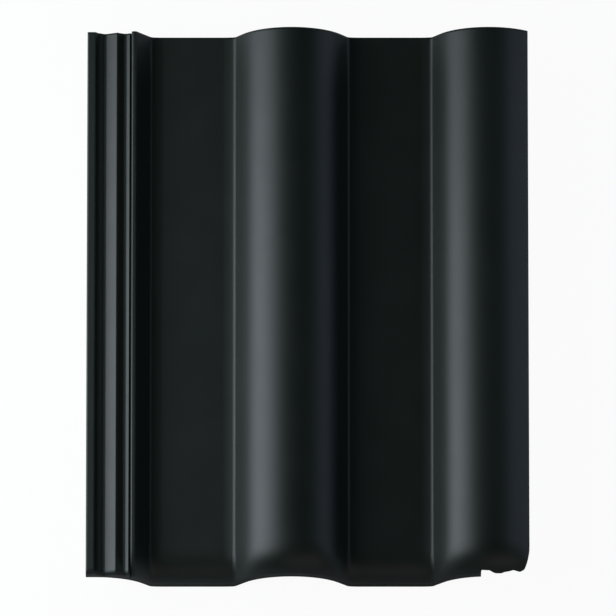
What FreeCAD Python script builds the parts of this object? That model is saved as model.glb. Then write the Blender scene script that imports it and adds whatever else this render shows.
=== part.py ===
import FreeCAD, Part
import math
import os
import Sketcher
from FreeCAD import Vector

# Interlocking concrete roof pantile, lying on its foot and nibs.
# X runs across the slope, Y up the slope from the front to the head, Z is up from the floor.
doc = FreeCAD.newDocument("roof_pantile")
sheet = doc.addObject("Spreadsheet::Sheet", "Sizes")

sizes = [
    ("tile_length", 420, "front to head"),
    ("tile_width", 332, "over both side locks"),
    ("wall", 11, "thickness of the pans and rolls"),
    ("nib_depth", 16.5, "underside of the pan above the floor"),
    ("lock_roll_place", 5.5, "left edge to the crest line of the roll that covers the left lock"),
    ("roll_height", 30.8, "crest above the pan"),
    ("crest_radius", 43.2, "outer radius of a roll"),
    ("flank_angle", 58.4, "slope of a roll's straight flank"),
    ("valley_radius", 4, "hollow at the foot of a flank"),
    ("ease_run", 5.5, "edge of the pan that rises a little towards a flank"),
    ("ease_angle", 8, "slope of that edge"),
    ("ease_radius", 40, "hollow where that edge leaves the level pan"),
    ("overlock_reach", 29.5, "last crest to the right edge"),
    ("lip_run", 1.2, "straight end of the last roll"),
    ("lip_radius", 0.8, "rounding of the right edge"),
    ("edge_rib_width", 6, "outer rib of the left lock"),
    ("edge_rib_height", 15.9, "outer rib above the pan"),
    ("ledge_start", 8.2, "left edge to the ledge in the first channel's side"),
    ("ledge_end", 9.7, "far side of that ledge"),
    ("ledge_height", 12.8, "upper side of that ledge above the pan"),
    ("ledge_fall", 0.6, "fall of that ledge towards the channel"),
    ("channel_start", 12.2, "left edge to the first water channel"),
    ("channel_end", 14.5, "far side of that channel's floor"),
    ("channel_floor", 10.4, "floor of that channel above the pan"),
    ("middle_rib_place", 22.4, "left edge to the middle rib"),
    ("middle_rib_height", 14.3, "middle rib above the pan"),
    ("gutter_start", 27.4, "left edge to the second water channel"),
    ("gutter_end", 29.7, "far side of that channel's floor"),
    ("gutter_floor", 11.2, "floor of that channel above the pan"),
    ("ridge_place", 31.9, "left edge to the ridge beside the main rib"),
    ("ridge_height", 12.5, "that ridge above the pan"),
    ("ridge_radius", 0.4, "rounding of that ridge and of the ledge"),
    ("main_rib_place", 33, "left edge to the foot of the main rib"),
    ("main_rib_foot", 11.2, "foot of the main rib above the pan"),
    ("main_rib_lean", 0.6, "run of the main rib's steep face"),
    ("main_rib_height", 18.3, "main rib above the pan"),
    ("main_rib_slope", 57, "slope of the main rib down to the pan"),
    ("rib_radius", 1.2, "rounding of the lock's ribs"),
    ("channel_radius", 2, "rounding of the lock's channels"),
    ("seat_height", 31, "underside of the left lock above the floor"),
    ("foot_arch_height", 33.4, "foot's arch under a roll, above the floor"),
    ("foot_arch_radius", 40.5, "radius of that arch"),
    ("foot_flank_angle", 58.4, "slope of that arch's straight side"),
    ("foot_thickness", 16, "front foot along the slope"),
    ("bar_gap", 26, "clear space between the foot and the weather bar"),
    ("bar_thickness", 9, "weather bar along the slope"),
    ("underside_radius", 8, "rounding under the pans"),
    ("nose_radius", 26, "rounding of the front over pans and rolls"),
    ("nose_sweep", 62, "angle that this rounding turns through"),
    ("lock_nose_radius", 5, "rounding of the front at the left lock"),
    ("arris_radius", 2, "rounding of the head edge"),
    ("arris_sweep", 60, "angle that the small roundings turn through"),
    ("step_place", 36.2, "right edge to the end of the foot"),
    ("lock_ceiling", 19.5, "ceiling beside the foot's end above the pan"),
    ("tongue_root", 30, "right edge to the foot of the first tongue"),
    ("tongue_near", 24.8, "right edge to the tip of the first tongue"),
    ("tongue_far", 21.8, "right edge to the far side of that tip"),
    ("tongue_height", 16, "tip of the first tongue above the pan"),
    ("groove_near", 18.5, "right edge to the groove between the tongues"),
    ("groove_far", 12, "right edge to the far side of that groove"),
    ("groove_height", 16.9, "ceiling of that groove above the pan"),
    ("lip_near", 7.1, "right edge to the tip of the second tongue"),
    ("lip_far", 3.8, "right edge to the far side of that tip"),
    ("lip_height", 13.5, "tip of the second tongue above the pan"),
    ("lip_side", 18.6, "lower end of the right edge above the pan"),
    ("tongue_radius", 1.2, "rounding of the tongues"),
    ("nib_width", 34, "hanging nib across the slope"),
    ("nib_thickness", 16, "hanging nib along the slope"),
    ("nib_setback", 14, "hanging nib to the head edge"),
    ("nib_draft", 6, "slope of the nib's sides"),
    ("nib_radius", 4, "rounding of the nib's lower corners"),
    ("spare_depth", 45, "raw depth below the floor before the underside is cut"),
]
for row, (name, value, note) in enumerate(sizes, start=1):
    sheet.set(f"A{row}", note)
    sheet.set(f"B{row}", str(value))
    sheet.setAlias(f"B{row}", name)
doc.recompute()

body = doc.addObject("PartDesign::Body", "roof_pantile")
body.Label = "roof_pantile"
planes = {feature.Role: feature for feature in body.Origin.OriginFeatures}


def new_sketch(name, plane, along="0", up="0"):
    """Empty sketch on an origin plane, moved along the plane's normal and up in the plane."""
    sketch = body.newObject("Sketcher::SketchObject", name)
    sketch.AttachmentSupport = [(planes[plane], "")]
    sketch.MapMode = "FlatFace"
    sketch.setExpression("AttachmentOffset.Base.z", along)
    sketch.setExpression("AttachmentOffset.Base.y", up)
    return sketch


def place_point(sketch, geometry, end, x, y):
    """Ties a point of the sketch to two expressions in the sheet's sizes."""
    for kind, axis, expression in (("DistanceX", -2, x), ("DistanceY", -1, y)):
        if expression == "0":
            sketch.addConstraint(Sketcher.Constraint("PointOnObject", geometry, end, axis))
            continue
        value = float(sketch.evalExpression(expression))
        index = sketch.addConstraint(Sketcher.Constraint(kind, -1, 1, geometry, end, value))
        sketch.setExpression(f"Constraints[{index}]", expression)


def set_radius(sketch, arc, expression):
    value = float(sketch.evalExpression(expression))
    index = sketch.addConstraint(Sketcher.Constraint("Radius", arc, value))
    sketch.setExpression(f"Constraints[{index}]", expression)


def draw_outline(sketch, corners):
    """Closed outline through the given corners (x, y, radius), each rounded by its radius if it has one."""
    points = [Vector(*(float(sketch.evalExpression(e)) for e in (x, y)), 0) for x, y, radius in corners]
    count = len(points)
    arrive = []
    leave = []
    arcs = {}
    for i, (x, y, radius) in enumerate(corners):
        point = points[i]
        back = (points[i - 1] - point).normalize()
        ahead = (points[(i + 1) % count] - point).normalize()
        if radius is None:
            arrive.append(point)
            leave.append(point)
            continue
        size = float(sketch.evalExpression(radius))
        half = back.getAngle(ahead) / 2
        arrive.append(point + back * (size / math.tan(half)))
        leave.append(point + ahead * (size / math.tan(half)))
        centre = point + (back + ahead).normalize() * (size / math.sin(half))
        turns_left = back.cross(ahead).z < 0
        first, last = (arrive[i], leave[i]) if turns_left else (leave[i], arrive[i])
        angles = [math.atan2(p.y - centre.y, p.x - centre.x) for p in (first, last)]
        circle = Part.Circle(centre, Vector(0, 0, 1), size)
        arcs[i] = (Part.ArcOfCircle(circle, *angles), turns_left)
    for i in range(count):
        sketch.addGeometry(Part.LineSegment(leave[i], arrive[(i + 1) % count]), False)
    for i, (x, y, radius) in enumerate(corners):
        before = (i - 1) % count
        if radius is None:
            sketch.addConstraint(Sketcher.Constraint("Coincident", before, 2, i, 1))
            place_point(sketch, i, 1, x, y)
            continue
        curve, turns_left = arcs[i]
        arc = sketch.addGeometry(curve, False)
        first, last = (1, 2) if turns_left else (2, 1)
        sketch.addConstraint(Sketcher.Constraint("Tangent", before, 2, arc, first))
        sketch.addConstraint(Sketcher.Constraint("Tangent", i, 1, arc, last))
        set_radius(sketch, arc, radius)
        mark = sketch.addGeometry(Part.Point(points[i]), True)
        sketch.addConstraint(Sketcher.Constraint("PointOnObject", mark, 1, before))
        sketch.addConstraint(Sketcher.Constraint("PointOnObject", mark, 1, i))
        place_point(sketch, mark, 1, x, y)


def draw_path(sketch, head, front, nose_radius, nose_sweep):
    """Line along the pan from head to front, turned down by the arris at the head and by the nose at the front."""
    ends = [
        (head, f"{head} - Sizes.arris_radius * sin(Sizes.arris_sweep)", "Sizes.arris_radius"),
        (front, f"{front} + {nose_radius} * sin({nose_sweep})", nose_radius),
    ]
    level = float(sketch.evalExpression(pan_top))
    starts = [Vector(float(sketch.evalExpression(x)), level, 0) for end, x, radius in ends]
    line = sketch.addGeometry(Part.LineSegment(*starts), False)
    for side, (end, x, radius) in enumerate(ends):
        place_point(sketch, line, side + 1, x, pan_top)
        size = float(sketch.evalExpression(radius))
        centre = starts[side] - Vector(0, size, 0)
        turn = math.asin(abs(float(sketch.evalExpression(end)) - starts[side].x) / size)
        angles = (math.pi / 2 - turn, math.pi / 2) if side == 0 else (math.pi / 2, math.pi / 2 + turn)
        arc = sketch.addGeometry(Part.ArcOfCircle(Part.Circle(centre, Vector(0, 0, 1), size), *angles), False)
        meets, tip = (2, 1) if side == 0 else (1, 2)
        sketch.addConstraint(Sketcher.Constraint("Tangent", line, side + 1, arc, meets))
        set_radius(sketch, arc, radius)
        value = float(sketch.evalExpression(end))
        index = sketch.addConstraint(Sketcher.Constraint("DistanceX", -1, 1, arc, tip, value))
        sketch.setExpression(f"Constraints[{index}]", end)


# Lines and levels that the outlines share
left = "-Sizes.tile_width / 2"
right = "Sizes.tile_width / 2"
head = "Sizes.tile_length / 2"
front = "-Sizes.tile_length / 2"
deep = "-Sizes.spare_depth"
pan_top = "(Sizes.nib_depth + Sizes.wall)"
roll_pitch = "((Sizes.tile_width - Sizes.overlock_reach - Sizes.lock_roll_place) / 2)"
last_crest = "(Sizes.tile_width / 2 - Sizes.overlock_reach)"
middle_crest = f"({last_crest} - {roll_pitch})"
lock_crest = f"({last_crest} - 2 * {roll_pitch})"
rib_face = f"({left} + Sizes.main_rib_place)"

# A roll's flanks would meet at its peak; the crest's arc rounds that corner down to the roll's height.
peak = "(Sizes.roll_height + Sizes.crest_radius * (1 / cos(Sizes.flank_angle) - 1))"
half_roll = f"({peak} / tan(Sizes.flank_angle))"
rib_shoulder = f"{lock_crest} + {half_roll} - Sizes.main_rib_height / tan(Sizes.main_rib_slope)"
lip_angle = "asin((Sizes.overlock_reach - Sizes.lip_run) / Sizes.crest_radius)"
peak_lean = f"(({lip_angle} - Sizes.flank_angle * 1 deg) / 2)"
peak_arm = f"(Sizes.crest_radius / cos(({lip_angle} + Sizes.flank_angle * 1 deg) / 2))"
crest_centre = f"({pan_top} + Sizes.roll_height - Sizes.crest_radius)"
lip_top = f"{crest_centre} + Sizes.crest_radius * cos({lip_angle}) - Sizes.lip_run * tan({lip_angle})"


def flank_foot(place, slope, side, level):
    """Corners where a level face eases up into a flank that rises to the right (side 1) or to the left (side -1)."""
    lift = f"(Sizes.ease_run / (1 / tan(Sizes.ease_angle) - 1 / tan({slope})))"
    corners = [
        (f"{place} - {side} * Sizes.ease_run", level, "Sizes.ease_radius"),
        (f"{place} + {side} * {lift} / tan({slope})", f"{level} + {lift}", "Sizes.valley_radius"),
    ]
    return corners[::side]


# Upper face of pans and rolls, carried down at the front as the knife rounds the nose
main_section = new_sketch(
    "main_section", "XZ_Plane", f"-{head}", "-Sizes.arris_radius * (1 - cos(Sizes.arris_sweep))"
)
draw_outline(main_section, [
    (rib_face, deep, None),
    (rib_face, f"{pan_top} + Sizes.main_rib_foot", None),
    (f"{rib_face} + Sizes.main_rib_lean", f"{pan_top} + Sizes.main_rib_height", "Sizes.rib_radius"),
    (rib_shoulder, f"{pan_top} + Sizes.main_rib_height", "Sizes.rib_radius"),
    *flank_foot(f"{lock_crest} + {half_roll}", "Sizes.main_rib_slope", -1, pan_top),
    *flank_foot(f"{middle_crest} - {half_roll}", "Sizes.flank_angle", 1, pan_top),
    (middle_crest, f"{pan_top} + {peak}", "Sizes.crest_radius"),
    *flank_foot(f"{middle_crest} + {half_roll}", "Sizes.flank_angle", -1, pan_top),
    *flank_foot(f"{last_crest} - {half_roll}", "Sizes.flank_angle", 1, pan_top),
    (
        f"{last_crest} + {peak_arm} * sin({peak_lean})",
        f"{crest_centre} + {peak_arm} * cos({peak_lean})",
        "Sizes.crest_radius",
    ),
    (right, lip_top, "Sizes.lip_radius"),
    (right, deep, None),
])
main_path = new_sketch("main_path", "YZ_Plane")
draw_path(main_path, head, front, "Sizes.nose_radius", "Sizes.nose_sweep")
doc.recompute()
main_log = body.newObject("PartDesign::AdditivePipe", "main_log")
main_log.Profile = main_section
main_log.Spine = main_path
main_log.Mode = "Fixed"
doc.recompute()

# Left lock with its ribs and water channels, whose front is rounded only a little
lock_section = new_sketch(
    "lock_section", "XZ_Plane", f"-{head}", "-Sizes.arris_radius * (1 - cos(Sizes.arris_sweep))"
)
draw_outline(lock_section, [
    (left, deep, None),
    (left, f"{pan_top} + Sizes.edge_rib_height", "Sizes.rib_radius"),
    (f"{left} + Sizes.edge_rib_width", f"{pan_top} + Sizes.edge_rib_height", "Sizes.rib_radius"),
    (f"{left} + Sizes.ledge_start", f"{pan_top} + Sizes.ledge_height", "Sizes.ridge_radius"),
    (f"{left} + Sizes.ledge_end", f"{pan_top} + Sizes.ledge_height - Sizes.ledge_fall", "Sizes.ridge_radius"),
    (f"{left} + Sizes.channel_start", f"{pan_top} + Sizes.channel_floor", "Sizes.channel_radius"),
    (f"{left} + Sizes.channel_end", f"{pan_top} + Sizes.channel_floor", "Sizes.channel_radius"),
    (f"{left} + Sizes.middle_rib_place", f"{pan_top} + Sizes.middle_rib_height", "Sizes.rib_radius"),
    (f"{left} + Sizes.gutter_start", f"{pan_top} + Sizes.gutter_floor", "Sizes.channel_radius"),
    (f"{left} + Sizes.gutter_end", f"{pan_top} + Sizes.gutter_floor", "Sizes.channel_radius"),
    (f"{left} + Sizes.ridge_place", f"{pan_top} + Sizes.ridge_height", "Sizes.ridge_radius"),
    (rib_face, f"{pan_top} + Sizes.main_rib_foot", None),
    (rib_face, deep, None),
])
lock_path = new_sketch("lock_path", "YZ_Plane")
draw_path(lock_path, head, front, "Sizes.lock_nose_radius", "Sizes.arris_sweep")
doc.recompute()
lock_log = body.newObject("PartDesign::AdditivePipe", "lock_log")
lock_log.Profile = lock_section
lock_log.Spine = lock_path
lock_log.Mode = "Fixed"
doc.recompute()


def cut_along(name, outline, start, length=None):
    """Pocket of an outline across the tile, from a place along the slope towards the head."""
    sketch = new_sketch(f"{name}_outline", "XZ_Plane", f"-({start})")
    draw_outline(sketch, outline)
    doc.recompute()
    before = body.Shape.Volume
    pocket = body.newObject("PartDesign::Pocket", name)
    pocket.Profile = sketch
    if length is None:
        pocket.Type = "ThroughAll"
    else:
        pocket.setExpression("Length", length)
    doc.recompute()
    if pocket.Shape.Volume >= before:
        raise RuntimeError(f"{name} cut nothing away")
    return pocket


# Sole of the foot: it lies flat under the pans and arches over the tile below under each roll
foot_peak = "(Sizes.foot_arch_height + Sizes.foot_arch_radius * (1 / cos(Sizes.foot_flank_angle) - 1))"
half_foot = f"({foot_peak} / tan(Sizes.foot_flank_angle))"
beyond = "Sizes.spare_depth / 4"
cut_along("sole", [
    (f"{left} - {beyond}", f"2 * {deep}", None),
    (f"{left} - {beyond}", "Sizes.seat_height", None),
    (
        f"{lock_crest} + {half_foot} - Sizes.seat_height / tan(Sizes.foot_flank_angle)",
        "Sizes.seat_height",
        "Sizes.foot_arch_radius",
    ),
    *flank_foot(f"{lock_crest} + {half_foot}", "Sizes.foot_flank_angle", -1, "0"),
    *flank_foot(f"{middle_crest} - {half_foot}", "Sizes.foot_flank_angle", 1, "0"),
    (middle_crest, foot_peak, "Sizes.foot_arch_radius"),
    *flank_foot(f"{middle_crest} + {half_foot}", "Sizes.foot_flank_angle", -1, "0"),
    *flank_foot(f"{last_crest} - {half_foot}", "Sizes.foot_flank_angle", 1, "0"),
    (
        f"{last_crest} - Sizes.foot_arch_radius * tan(Sizes.foot_flank_angle / 2)",
        "Sizes.foot_arch_height",
        "Sizes.foot_arch_radius",
    ),
    (f"{right} + {beyond}", "Sizes.foot_arch_height", None),
    (f"{right} + {beyond}", f"2 * {deep}", None),
], f"{front} - {beyond}")

# Underside of the body: one wall thick, cleared behind the foot and again behind the weather bar
half_hollow = f"({half_roll} - Sizes.wall * tan(Sizes.flank_angle / 2))"
hollow_top = f"({pan_top} + Sizes.roll_height - Sizes.wall)"
underside = [
    (f"{left} - {beyond}", deep, None),
    (f"{left} - {beyond}", "Sizes.seat_height", None),
    (
        f"{lock_crest} + {half_roll} - Sizes.wall / sin(Sizes.flank_angle)"
        f" - (Sizes.seat_height - {pan_top}) / tan(Sizes.flank_angle)",
        "Sizes.seat_height",
        "Sizes.underside_radius",
    ),
    (f"{lock_crest} + {half_hollow}", "Sizes.nib_depth", "Sizes.underside_radius"),
    (f"{middle_crest} - {half_hollow}", "Sizes.nib_depth", "Sizes.underside_radius"),
    (
        middle_crest,
        f"{pan_top} + {peak} - Sizes.wall / cos(Sizes.flank_angle)",
        "Sizes.crest_radius - Sizes.wall",
    ),
    (f"{middle_crest} + {half_hollow}", "Sizes.nib_depth", "Sizes.underside_radius"),
    (f"{last_crest} - {half_hollow}", "Sizes.nib_depth", "Sizes.underside_radius"),
    (
        f"{last_crest} - (Sizes.crest_radius - Sizes.wall) * tan(Sizes.flank_angle / 2)",
        hollow_top,
        "Sizes.crest_radius - Sizes.wall",
    ),
    (f"{last_crest} + Sizes.lip_run", hollow_top, None),
    (f"{last_crest} + Sizes.lip_run", deep, None),
]
bar_start = f"{front} + Sizes.foot_thickness + Sizes.bar_gap"
cut_along("bay", underside, f"{front} + Sizes.foot_thickness", "Sizes.bar_gap")
cut_along("hollow", underside, f"{bar_start} + Sizes.bar_thickness")

# Right lock: two tongues under the last roll reach into the neighbour's channels
cut_along("overlock", [
    (f"{right} - Sizes.step_place", deep, None),
    (f"{right} - Sizes.step_place", f"{pan_top} + Sizes.lock_ceiling", "Sizes.tongue_radius"),
    (f"{right} - Sizes.tongue_root", f"{pan_top} + Sizes.lock_ceiling", "Sizes.tongue_radius"),
    (f"{right} - Sizes.tongue_near", f"{pan_top} + Sizes.tongue_height", "Sizes.tongue_radius"),
    (f"{right} - Sizes.tongue_far", f"{pan_top} + Sizes.tongue_height", "Sizes.tongue_radius"),
    (f"{right} - Sizes.groove_near", f"{pan_top} + Sizes.groove_height", "Sizes.tongue_radius"),
    (f"{right} - Sizes.groove_far", f"{pan_top} + Sizes.groove_height", "Sizes.tongue_radius"),
    (f"{right} - Sizes.lip_near", f"{pan_top} + Sizes.lip_height", "Sizes.tongue_radius"),
    (f"{right} - Sizes.lip_far", f"{pan_top} + Sizes.lip_height", "Sizes.tongue_radius"),
    (right, f"{pan_top} + Sizes.lip_side", None),
    (f"{right} + {beyond}", f"{pan_top} + Sizes.lip_side", None),
    (f"{right} + {beyond}", deep, None),
], f"{front} - {beyond}")

# Hanging nibs, one under each pan near the head: square towards the batten, their sides drafted
pan_middle = f"({middle_crest} - {roll_pitch} / 2)"
nib_top = "(Sizes.nib_depth + Sizes.wall / 4)"
nib_spread = f"(Sizes.nib_width / 2 + {nib_top} * tan(Sizes.nib_draft))"
nib_outline = new_sketch("nib_outline", "XZ_Plane", f"-({head} - Sizes.nib_setback)")
draw_outline(nib_outline, [
    (f"{pan_middle} - Sizes.nib_width / 2", "0", "Sizes.nib_radius"),
    (f"{pan_middle} + Sizes.nib_width / 2", "0", "Sizes.nib_radius"),
    (f"{pan_middle} + {nib_spread}", nib_top, None),
    (f"{pan_middle} - {nib_spread}", nib_top, None),
])
nib = body.newObject("PartDesign::Pad", "nib")
nib.Profile = nib_outline
nib.setExpression("Length", "Sizes.nib_thickness")
doc.recompute()
nibs = body.newObject("PartDesign::LinearPattern", "nibs")
nibs.Originals = [nib]
nibs.Direction = (planes["X_Axis"], [""])
nibs.setExpression("Length", roll_pitch)
nibs.Occurrences = 2
body.Tip = nibs
doc.recompute()

# Nothing is written unless every feature built and the tile is one sound solid.
failed = [obj.Name for obj in doc.Objects if {"Invalid", "Error"} & set(obj.State)]
if failed:
    raise RuntimeError(f"not built: {failed}")
shape = body.Shape
if shape.isNull() or not shape.isValid() or len(shape.Solids) != 1:
    raise RuntimeError("the tile isn't one sound solid")
box = shape.optimalBoundingBox(False, False)
print(f"box {box.XLength:.2f} x {box.YLength:.2f} x {box.ZLength:.2f} mm, from z {box.ZMin:.3f}")
print(f"volume {shape.Volume:.0f} cubic mm")
os.makedirs("parts", exist_ok=True)
shape.exportStep(f"parts/{body.Label}.step")
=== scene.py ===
import math

import bpy
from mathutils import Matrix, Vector


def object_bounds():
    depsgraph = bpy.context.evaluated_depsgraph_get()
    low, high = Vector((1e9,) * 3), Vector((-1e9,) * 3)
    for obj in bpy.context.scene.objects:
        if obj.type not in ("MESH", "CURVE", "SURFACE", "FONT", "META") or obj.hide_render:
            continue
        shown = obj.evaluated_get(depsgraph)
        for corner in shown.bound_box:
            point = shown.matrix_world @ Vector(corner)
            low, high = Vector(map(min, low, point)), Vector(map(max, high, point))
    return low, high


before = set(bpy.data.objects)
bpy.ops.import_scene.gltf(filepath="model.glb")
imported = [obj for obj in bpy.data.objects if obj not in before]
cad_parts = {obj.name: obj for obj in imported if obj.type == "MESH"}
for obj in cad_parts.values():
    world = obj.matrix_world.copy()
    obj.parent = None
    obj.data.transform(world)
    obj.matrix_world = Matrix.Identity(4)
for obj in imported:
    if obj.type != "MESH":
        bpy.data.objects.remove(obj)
cad_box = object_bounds()

# Tile casting
# One pressed concrete casting with two rolls, two pans and a lock along each side.
# Its upper face and its edges are sprayed with a satin black coat, and its underside stays raw.
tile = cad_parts["roof_pantile"]
coat_dark = (0.0022, 0.0049, 0.0032, 1.0)
coat_pale = (0.0026, 0.0053, 0.0036, 1.0)
cut_colour = (0.0034, 0.0045, 0.0037, 1.0)
concrete_dark = (0.040, 0.041, 0.040, 1.0)
concrete_pale = (0.075, 0.076, 0.073, 1.0)
pore_colour = (0.012, 0.012, 0.012, 1.0)
coat_gloss = 0.32
coat_roughness = (0.45, 0.47)
cut_roughness = 0.75
concrete_roughness = (0.82, 0.95)
mottle_size = 0.03
cloud_size = 0.02
drift_size = 0.008
pore_size = 0.0035
sand_size = 0.0012
sand_relief = 0.0002
sand_strength = 0.5
sand_through_coat = 0.12
edge_wrap = 0.0015
edge_fade = 0.0005

finish = bpy.data.materials.new("coated_concrete")
finish.use_nodes = True
tile_nodes = finish.node_tree.nodes
tile_links = finish.node_tree.links
shader = tile_nodes["Principled BSDF"]
shader.inputs["Specular IOR Level"].default_value = coat_gloss
place = tile_nodes.new("ShaderNodeTexCoord").outputs["Object"]


def add_noise(size, detail):
    """Noise between 0 and 1 on the tile, in lumps of about the given size in metres."""
    noise = tile_nodes.new("ShaderNodeTexNoise")
    noise.inputs["Scale"].default_value = 1 / size
    noise.inputs["Detail"].default_value = detail
    tile_links.new(place, noise.inputs["Vector"])
    return noise.outputs["Fac"]


def remap(value, start, end, low=0.0, high=1.0):
    """Smooth step of a value from start to end, giving low to high."""
    tree = value.id_data
    step = tree.nodes.new("ShaderNodeMapRange")
    step.interpolation_type = "SMOOTHSTEP"
    step.inputs["From Min"].default_value = start
    step.inputs["From Max"].default_value = end
    step.inputs["To Min"].default_value = low
    step.inputs["To Max"].default_value = high
    tree.links.new(value, step.inputs["Value"])
    return step.outputs["Result"]


def combine(operation, first, second):
    """Result of a sum on two values, where the second may be a plain number."""
    tree = first.id_data
    sum_node = tree.nodes.new("ShaderNodeMath")
    sum_node.operation = operation
    tree.links.new(first, sum_node.inputs[0])
    if isinstance(second, float):
        sum_node.inputs[1].default_value = second
    else:
        tree.links.new(second, sum_node.inputs[1])
    return sum_node.outputs["Value"]


def without_sign(value):
    """Size of a value, whichever way it points."""
    return combine("ABSOLUTE", value, 0.0)


def blend_colours(share, first, second):
    """Mix of two colours, each a plain colour or another node's output."""
    tree = share.id_data
    mix = tree.nodes.new("ShaderNodeMix")
    mix.data_type = "RGBA"
    sockets = {socket.identifier: socket for socket in mix.inputs}
    tree.links.new(share, sockets["Factor_Float"])
    for side, colour in (("A_Color", first), ("B_Color", second)):
        if isinstance(colour, tuple):
            sockets[side].default_value = colour
        else:
            tree.links.new(colour, sockets[side])
    return next(socket for socket in mix.outputs if socket.identifier == "Result_Color")


# The spray comes from above: it covers what faces up, and the outer edges down to the drip line.
# Both limits are heights of the face's normal, and a fine noise makes them uneven.
spray_limit = (0.01, 0.06)
edge_limit = (-0.35, -0.15)
limit_drift = 0.02
noise_middle = (0.3, 0.7)
facing = tile_nodes.new("ShaderNodeSeparateXYZ")
tile_links.new(tile_nodes.new("ShaderNodeNewGeometry").outputs["Normal"], facing.inputs["Vector"])
spot = tile_nodes.new("ShaderNodeSeparateXYZ")
tile_links.new(place, spot.inputs["Vector"])
drift = remap(add_noise(drift_size, detail=3.0), *noise_middle, -limit_drift, limit_drift)
upward = combine("ADD", facing.outputs["Z"], drift)
wrap_x = cad_box[1][0] - edge_wrap
wrap_y = cad_box[1][1] - edge_wrap
across = remap(without_sign(spot.outputs["X"]), wrap_x, wrap_x + edge_fade)
along = remap(without_sign(spot.outputs["Y"]), wrap_y, wrap_y + edge_fade)
edge_cover = combine("MULTIPLY", combine("MAXIMUM", across, along), remap(upward, *edge_limit))
cover = combine("MAXIMUM", edge_cover, remap(upward, *spray_limit))

# The knife leaves the head and the front matt and a little warmer under the coat.
cut_facing = (0.85, 0.97)
cut_end = remap(without_sign(facing.outputs["Y"]), *cut_facing)
mottle = remap(add_noise(mottle_size, detail=4.0), *noise_middle)
coat_colour = blend_colours(mottle, coat_dark, coat_pale)
coat_colour = blend_colours(cut_end, coat_colour, cut_colour)

# Raw concrete is cloudy, with pores where trapped air met the mould.
pore_limit = (0.27, 0.33)
cloud = remap(add_noise(cloud_size, detail=6.0), *noise_middle)
concrete_colour = blend_colours(cloud, concrete_dark, concrete_pale)
pores = remap(add_noise(pore_size, detail=1.0), *pore_limit, 1.0, 0.0)
concrete_colour = blend_colours(pores, concrete_colour, pore_colour)
tile_links.new(blend_colours(cover, concrete_colour, coat_colour), shader.inputs["Base Color"])

sand = add_noise(sand_size, detail=4.0)
roughness = tile_nodes.new("ShaderNodeMix")
tile_links.new(cover, roughness.inputs["Factor"])
tile_links.new(remap(sand, *noise_middle, *concrete_roughness), roughness.inputs["A"])
tile_links.new(remap(mottle, 0.0, 1.0, *coat_roughness), roughness.inputs["B"])
cut_matt = combine("MULTIPLY", cut_end, cut_roughness)
tile_links.new(combine("MAXIMUM", roughness.outputs["Result"], cut_matt), shader.inputs["Roughness"])

# Sand grains stand out on the raw underside and only just show through the coat.
grain_depth = remap(cover, 0.0, 1.0, 1.0, sand_through_coat)
relief = tile_nodes.new("ShaderNodeBump")
relief.inputs["Strength"].default_value = sand_strength
relief.inputs["Distance"].default_value = sand_relief
tile_links.new(combine("MULTIPLY", sand, grain_depth), relief.inputs["Height"])
tile_links.new(relief.outputs["Normal"], shader.inputs["Normal"])
tile.material_slots[0].material = finish

# Floor
# A wide sheet of pale studio paper that the tile lies on.
# It shows white and keeps the tile's soft shadow.
floor_width = 60.0
floor_gap = 0.0001
paper_colour = (0.5, 0.5, 0.5, 1.0)
camera_glow = 0.95
gloss_glow = 0.03
bpy.ops.mesh.primitive_plane_add(size=floor_width, location=(0.0, 0.0, -floor_gap))
floor = bpy.context.object
floor.name = "studio_floor"

paper = bpy.data.materials.new("pale_paper")
paper.use_nodes = True
paper_nodes = paper.node_tree.nodes
paper_links = paper.node_tree.links
paper_nodes.clear()
matt = paper_nodes.new("ShaderNodeBsdfDiffuse")
matt.inputs["Color"].default_value = paper_colour
glow = paper_nodes.new("ShaderNodeEmission")
glow.inputs["Strength"].default_value = 1.0
rays = paper_nodes.new("ShaderNodeLightPath")
seen = combine("MAXIMUM", rays.outputs["Is Camera Ray"], rays.outputs["Is Transmission Ray"])
seen_share = combine("MULTIPLY", seen, camera_glow)
gloss_share = combine("MULTIPLY", rays.outputs["Is Glossy Ray"], gloss_glow)
sheet_mix = paper_nodes.new("ShaderNodeMixShader")
paper_links.new(combine("MAXIMUM", seen_share, gloss_share), sheet_mix.inputs["Fac"])
paper_links.new(matt.outputs["BSDF"], sheet_mix.inputs[1])
paper_links.new(glow.outputs["Emission"], sheet_mix.inputs[2])
surface = paper_nodes.new("ShaderNodeOutputMaterial")
paper_links.new(sheet_mix.outputs["Shader"], surface.inputs["Surface"])
floor.data.materials.append(paper)

# Studio light
# A tall softbox with a brighter core leans over the tile from the left. A small softbox and a
# low strip light it from the right, and a weak wide one from the front, in a dim room.
key_white = (0.91, 1.0, 1.08)
side_white = (0.80, 0.95, 1.20)
front_white = (1.06, 0.97, 0.95)
room_colour = (0.028, 0.044, 0.040, 1.0)


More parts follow.
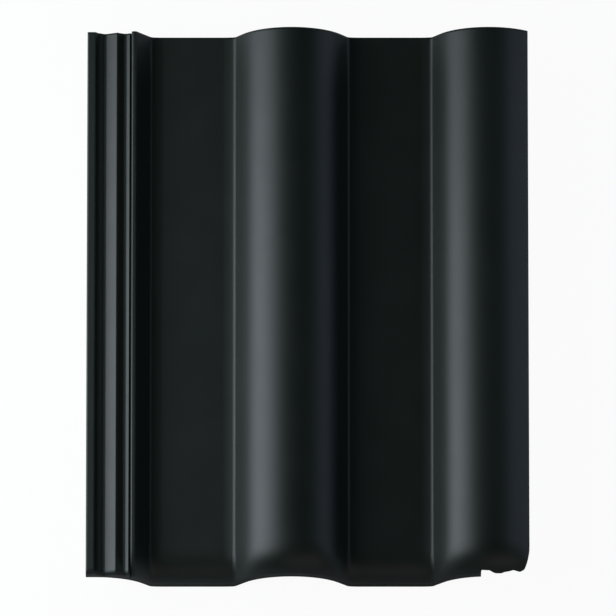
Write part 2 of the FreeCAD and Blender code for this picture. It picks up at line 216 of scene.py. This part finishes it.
def add_softbox(name, place, aim, length, height, power, colour):
    """Rectangular light that faces the aim, with its length level."""
    light = bpy.data.lights.new(name, "AREA")
    light.shape = "RECTANGLE"
    light.size = length
    light.size_y = height
    light.energy = power
    light.color = colour
    lamp = bpy.data.objects.new(name, light)
    lamp.location = place
    lamp.rotation_euler = (Vector(aim) - Vector(place)).to_track_quat("-Z", "Y").to_euler()
    lamp.visible_camera = False
    bpy.context.scene.collection.objects.link(lamp)


add_softbox("key_softbox", place=(-0.56, 0.03, 0.365), aim=(0.0, 0.03, 0.06),
            length=0.93, height=0.67, power=7.9, colour=key_white)
add_softbox("key_core", place=(-0.61, -0.01, 0.29), aim=(0.0, -0.01, 0.0),
            length=0.66, height=0.36, power=2.44, colour=key_white)
add_softbox("side_softbox", place=(0.38, 0.12, 0.23), aim=(0.08, 0.12, 0.05),
            length=0.7, height=0.15, power=0.345, colour=side_white)
add_softbox("side_strip", place=(0.9, 0.1, 0.125), aim=(0.15, 0.1, 0.05),
            length=1.2, height=0.12, power=1.1, colour=side_white)
add_softbox("front_softbox", place=(0.6, -1.4, 0.7), aim=(0.0, -0.2, 0.03),
            length=1.8, height=1.0, power=3.6, colour=front_white)

room = bpy.data.worlds.new("dim_room")
room.use_nodes = True
room.node_tree.nodes["Background"].inputs["Color"].default_value = room_colour
bpy.context.scene.world = room

# Camera
# A long lens far above the front edge, tilted a little off square to the pans.
camera_tilt = math.radians(14.317)
camera_distance = 11.444
camera_aim = Vector((0.00032, -0.00175, 0.030))
camera_side = Vector((0.0, -math.sin(camera_tilt), math.cos(camera_tilt)))
focal_pixels = 15218.2
frame_pixels = 616
sensor_width = 36.0
camera_data = bpy.data.cameras.new("camera")
camera_data.sensor_width = sensor_width
camera_data.lens = focal_pixels * sensor_width / frame_pixels
camera_data.clip_end = 100.0
camera = bpy.data.objects.new("camera", camera_data)
camera.location = camera_aim + camera_distance * camera_side
camera.rotation_euler = (camera_tilt, 0.0, 0.0)
bpy.context.scene.collection.objects.link(camera)
bpy.context.scene.camera = camera
bpy.context.scene.view_settings.view_transform = "Standard"
